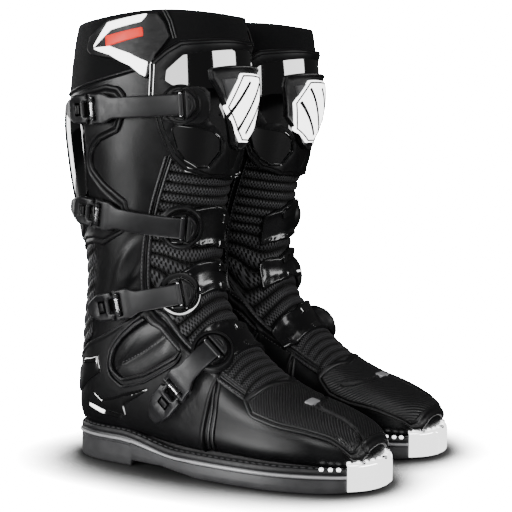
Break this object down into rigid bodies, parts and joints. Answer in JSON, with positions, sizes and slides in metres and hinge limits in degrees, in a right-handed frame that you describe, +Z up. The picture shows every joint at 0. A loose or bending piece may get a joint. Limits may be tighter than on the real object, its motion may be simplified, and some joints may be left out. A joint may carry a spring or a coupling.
{
  "type": "motocross boots",
  "caption": "Motocross riding boots, a left and a right, with flexing ankles, hinged straps and snap-over levers, moulded shin, calf and heel armour, and metal toe guards.",
  "frame": {"origin": "on the ground, at the middle of the pair's box", "axes": "+Z up, toes towards -Y, the wearer's right boot at -X and the left boot at +X"},
  "size_m": [0.2808, 0.323, 0.4041],
  "materials": {
    "grey_rubber": "translucent grey sole rubber with a satin surface",
    "welt_rubber": "black stitched welt",
    "footbed_foam": "cloth-covered foam",
    "spring_steel": "plain spring steel",
    "toe_metal": "bright pressed metal",
    "screw_steel": "bright steel",
    "black_leather": "smooth matte black leather with a soft sheen",
    "toe_rubber": "fine-ribbed black rubber",
    "moulded_tpu": "satin black moulding",
    "stretch_mesh": "ribbed black stretch cloth with open knit",
    "gloss_plastic": "high-gloss black",
    "badge_plastic": "glossy white",
    "collar_fabric": "soft black padded cloth",
    "panel_tpu": "satin black moulding with white and red inlays",
    "strap_tpu": "satin dark grey moulding"
  },
  "bodies": {
    "right_foot": {"right_outsole": "grey_rubber", "right_welt": "welt_rubber", "right_footbed": "footbed_foam", "right_shank": "spring_steel", "right_toe_guard": "toe_metal", "right_toe_screws": "screw_steel", "right_vamp": "black_leather", "right_toe_cover": "toe_rubber", "right_heel_cup": "moulded_tpu", "right_instep_plate": "moulded_tpu", "right_foot_latch": "moulded_tpu"},
    "right_shaft": {"right_shaft_leather": "black_leather", "right_front_gaiter": "stretch_mesh", "right_ankle_gaiter": "stretch_mesh", "right_shin_plate": "gloss_plastic", "right_shin_badge": "badge_plastic", "right_collar": "collar_fabric", "right_collar_panel": "panel_tpu", "right_calf_guard": "gloss_plastic", "right_upper_plate": "moulded_tpu", "right_lower_plate": "moulded_tpu", "right_shaft_latches": "moulded_tpu"},
    "right_strap_1": {"right_strap_1": "strap_tpu"},
    "right_lever_1": {"right_lever_1": "strap_tpu"},
    "right_strap_2": {"right_strap_2": "strap_tpu"},
    "right_lever_2": {"right_lever_2": "strap_tpu"},
    "right_strap_3": {"right_strap_3": "strap_tpu"},
    "right_lever_3": {"right_lever_3": "strap_tpu"},
    "right_strap_4": {"right_strap_4": "strap_tpu"},
    "right_lever_4": {"right_lever_4": "strap_tpu"},
    "left_foot": {"left_outsole": "grey_rubber", "left_welt": "welt_rubber", "left_footbed": "footbed_foam", "left_shank": "spring_steel", "left_toe_guard": "toe_metal", "left_toe_screws": "screw_steel", "left_vamp": "black_leather", "left_toe_cover": "toe_rubber", "left_heel_cup": "moulded_tpu", "left_instep_plate": "moulded_tpu", "left_foot_latch": "moulded_tpu"},
    "left_shaft": {"left_shaft_leather": "black_leather", "left_front_gaiter": "stretch_mesh", "left_ankle_gaiter": "stretch_mesh", "left_shin_plate": "gloss_plastic", "left_shin_badge": "badge_plastic", "left_collar": "collar_fabric", "left_collar_panel": "panel_tpu", "left_calf_guard": "gloss_plastic", "left_upper_plate": "moulded_tpu", "left_lower_plate": "moulded_tpu", "left_shaft_latches": "moulded_tpu"},
    "left_strap_1": {"left_strap_1": "strap_tpu"},
    "left_lever_1": {"left_lever_1": "strap_tpu"},
    "left_strap_2": {"left_strap_2": "strap_tpu"},
    "left_lever_2": {"left_lever_2": "strap_tpu"},
    "left_strap_3": {"left_strap_3": "strap_tpu"},
    "left_lever_3": {"left_lever_3": "strap_tpu"},
    "left_strap_4": {"left_strap_4": "strap_tpu"},
    "left_lever_4": {"left_lever_4": "strap_tpu"}
  },
  "joints": [
    {"name": "right_ankle_flex", "type": "hinge", "parent": "right_foot", "child": "right_shaft", "pos_m": [-0.068, 0.0789, 0.105], "axis": [1, 0, 0], "range_deg": [-4, 8], "stiffness_Nm_per_rad": 60, "deforming": ["right_ankle_gaiter"]},
    {"name": "right_strap_1_swing", "type": "hinge", "parent": "right_shaft", "child": "right_strap_1", "pos_m": [-0.123, 0.0099, 0.327], "axis": [-0.0642, 0.0262, 0.9976], "range_deg": [0, 90]},
    {"name": "right_lever_1_open", "type": "hinge", "parent": "right_strap_1", "child": "right_lever_1", "pos_m": [-0.135, 0.0949, 0.324], "axis": [-0.0642, 0.0262, 0.9976], "range_deg": [0, 100]},
    {"name": "right_strap_2_swing", "type": "hinge", "parent": "right_shaft", "child": "right_strap_2", "pos_m": [-0.1075, 0.0189, 0.219], "axis": [-0.0861, -0.1714, 0.9814], "range_deg": [0, 90]},
    {"name": "right_lever_2_open", "type": "hinge", "parent": "right_strap_2", "child": "right_lever_2", "pos_m": [-0.126, 0.0969, 0.231], "axis": [-0.0861, -0.1714, 0.9814], "range_deg": [0, 100]},
    {"name": "right_strap_3_swing", "type": "hinge", "parent": "right_shaft", "child": "right_strap_3", "pos_m": [-0.1095, 0.0209, 0.161], "axis": [-0.0109, 0.2003, 0.9797], "range_deg": [0, 90]},
    {"name": "right_lever_3_open", "type": "hinge", "parent": "right_strap_3", "child": "right_lever_3", "pos_m": [-0.122, 0.0789, 0.149], "axis": [-0.0109, 0.2003, 0.9797], "range_deg": [0, 100]},
    {"name": "right_strap_4_swing", "type": "hinge", "parent": "right_foot", "child": "right_strap_4", "pos_m": [-0.1126, -0.0149, 0.1156], "axis": [0.0635, 0.7607, 0.646], "range_deg": [0, 90]},
    {"name": "right_lever_4_open", "type": "hinge", "parent": "right_strap_4", "child": "right_lever_4", "pos_m": [-0.123, 0.0179, 0.078], "axis": [0.0635, 0.7607, 0.646], "range_deg": [0, 100]},
    {"name": "left_boot_apart", "type": "slide", "parent": "right_foot", "child": "left_foot", "axis": [1, 0, 0], "range_m": [0, 0.15]},
    {"name": "left_ankle_flex", "type": "hinge", "parent": "left_foot", "child": "left_shaft", "pos_m": [0.068, 0.0789, 0.105], "axis": [1, 0, 0], "range_deg": [-4, 8], "stiffness_Nm_per_rad": 60, "deforming": ["left_ankle_gaiter"]},
    {"name": "left_strap_1_swing", "type": "hinge", "parent": "left_shaft", "child": "left_strap_1", "pos_m": [0.123, 0.0099, 0.327], "axis": [-0.0642, -0.0262, -0.9976], "range_deg": [0, 90]},
    {"name": "left_lever_1_open", "type": "hinge", "parent": "left_strap_1", "child": "left_lever_1", "pos_m": [0.135, 0.0949, 0.324], "axis": [-0.0642, -0.0262, -0.9976], "range_deg": [0, 100]},
    {"name": "left_strap_2_swing", "type": "hinge", "parent": "left_shaft", "child": "left_strap_2", "pos_m": [0.1075, 0.0189, 0.219], "axis": [-0.0861, 0.1714, -0.9814], "range_deg": [0, 90]},
    {"name": "left_lever_2_open", "type": "hinge", "parent": "left_strap_2", "child": "left_lever_2", "pos_m": [0.126, 0.0969, 0.231], "axis": [-0.0861, 0.1714, -0.9814], "range_deg": [0, 100]},
    {"name": "left_strap_3_swing", "type": "hinge", "parent": "left_shaft", "child": "left_strap_3", "pos_m": [0.1095, 0.0209, 0.161], "axis": [-0.0109, -0.2003, -0.9797], "range_deg": [0, 90]},
    {"name": "left_lever_3_open", "type": "hinge", "parent": "left_strap_3", "child": "left_lever_3", "pos_m": [0.122, 0.0789, 0.149], "axis": [-0.0109, -0.2003, -0.9797], "range_deg": [0, 100]},
    {"name": "left_strap_4_swing", "type": "hinge", "parent": "left_foot", "child": "left_strap_4", "pos_m": [0.1126, -0.0149, 0.1156], "axis": [0.0635, -0.7607, -0.646], "range_deg": [0, 90]},
    {"name": "left_lever_4_open", "type": "hinge", "parent": "left_strap_4", "child": "left_lever_4", "pos_m": [0.123, 0.0179, 0.078], "axis": [0.0635, -0.7607, -0.646], "range_deg": [0, 100]}
  ]
}
